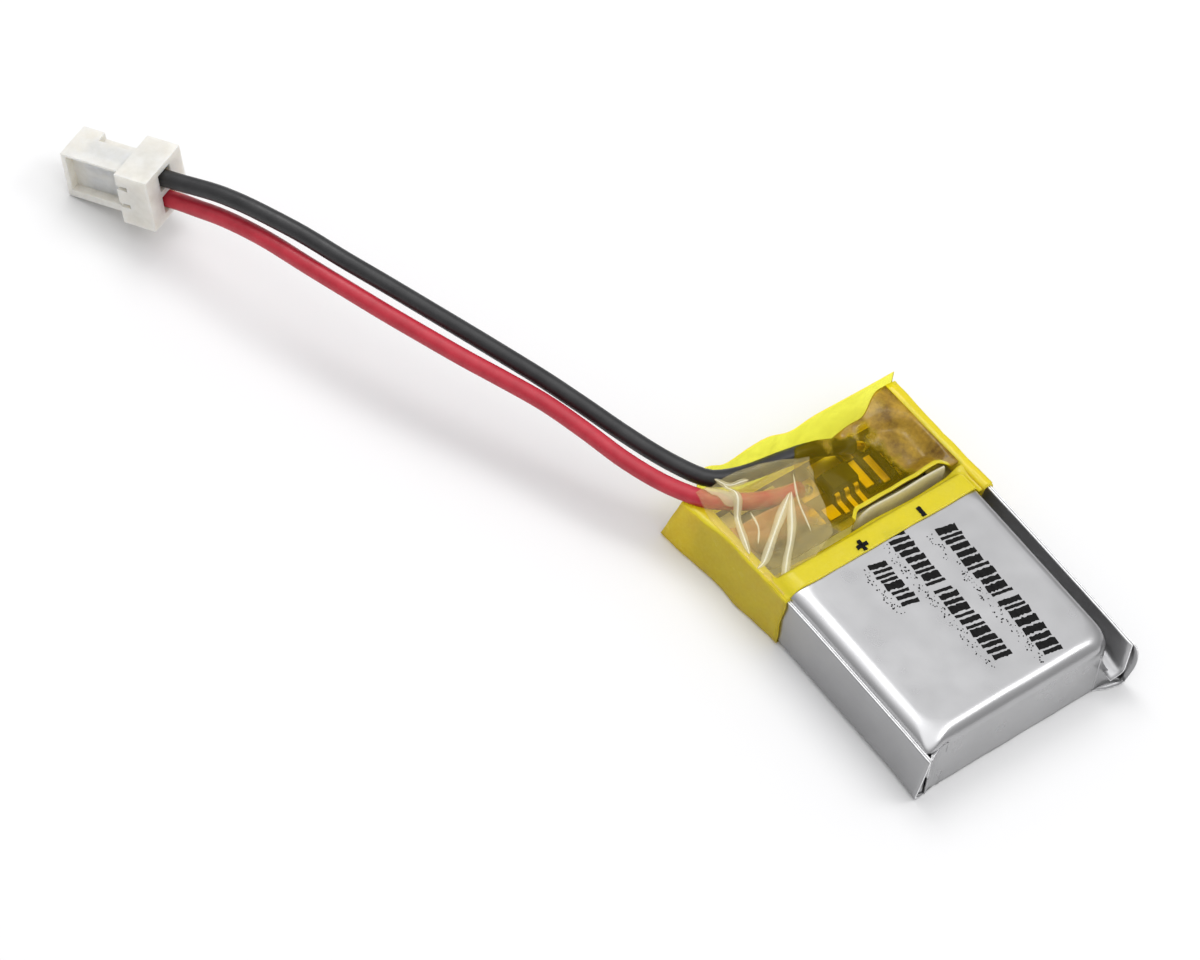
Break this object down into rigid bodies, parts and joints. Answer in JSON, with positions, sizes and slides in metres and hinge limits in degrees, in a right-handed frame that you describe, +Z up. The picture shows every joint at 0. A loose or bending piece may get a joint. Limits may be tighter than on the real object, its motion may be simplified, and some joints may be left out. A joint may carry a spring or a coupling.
{
  "type": "lipo battery pack",
  "caption": "Small single-cell lithium polymer pouch pack with folded side seals, a taped protection board and a short red and black lead pair ending in a white connector.",
  "frame": {"origin": "under the middle of the cell, on the surface that it lies on", "axes": "+X across the cell towards the negative side, +Y along the cell towards the board and leads, +Z up through the cell's thickness"},
  "size_m": [0.0251, 0.0472, 0.0054],
  "materials": {
    "pouch_silver": "satin laminated foil",
    "pouch_back_silver": "satin laminated foil",
    "anode_foil": "matte graphite coating",
    "cathode_foil": "matte oxide coating",
    "separator_film": "matte film",
    "stop_tape": "gloss film",
    "tab_aluminium": "rolled",
    "tab_nickel": "rolled",
    "tab_film": "satin film",
    "insulation_paper": "matte",
    "clear_strip": "translucent satin",
    "board_mask": "satin solder mask",
    "chip_black": "matte moulding",
    "resistor_body": "satin",
    "capacitor_body": "satin",
    "pad_nickel": "satin",
    "solder": "bright",
    "tinned_copper": "satin",
    "insulation_red": "soft gloss",
    "insulation_black": "soft gloss",
    "nylon_white": "translucent satin",
    "contact_tin": "bright",
    "polyimide_tape": "translucent gloss film",
    "clear_film": "clear gloss film"
  },
  "bodies": {
    "root": {"pouch_cup": "pouch_silver", "pouch_back": "pouch_back_silver", "anode_winding": "anode_foil", "cathode_winding": "cathode_foil", "separator_inner": "separator_film", "separator_outer": "separator_film", "winding_stop_tape": "stop_tape", "positive_tab": "tab_aluminium", "negative_tab": "tab_nickel", "positive_tab_film": "tab_film", "negative_tab_film": "tab_film", "terrace_insulation_tape": "insulation_paper", "shoulder_insulation_strip": "clear_strip", "protection_board": "board_mask", "protection_ic": "chip_black", "mosfet": "chip_black", "filter_resistor": "resistor_body", "sense_resistor": "resistor_body", "filter_capacitor": "capacitor_body", "positive_weld_pad": "pad_nickel", "negative_weld_pad": "pad_nickel", "positive_solder_joint": "solder", "negative_solder_joint": "solder", "positive_conductor_end": "tinned_copper", "negative_conductor_end": "tinned_copper", "positive_lead": "insulation_red", "negative_lead": "insulation_black", "connector_housing": "nylon_white", "positive_contact": "contact_tin", "negative_contact": "contact_tin", "wrap_tape": "polyimide_tape", "shoulder_tape": "polyimide_tape", "end_flap_tape": "polyimide_tape", "lead_retaining_tape": "clear_film"}
  },
  "joints": []
}
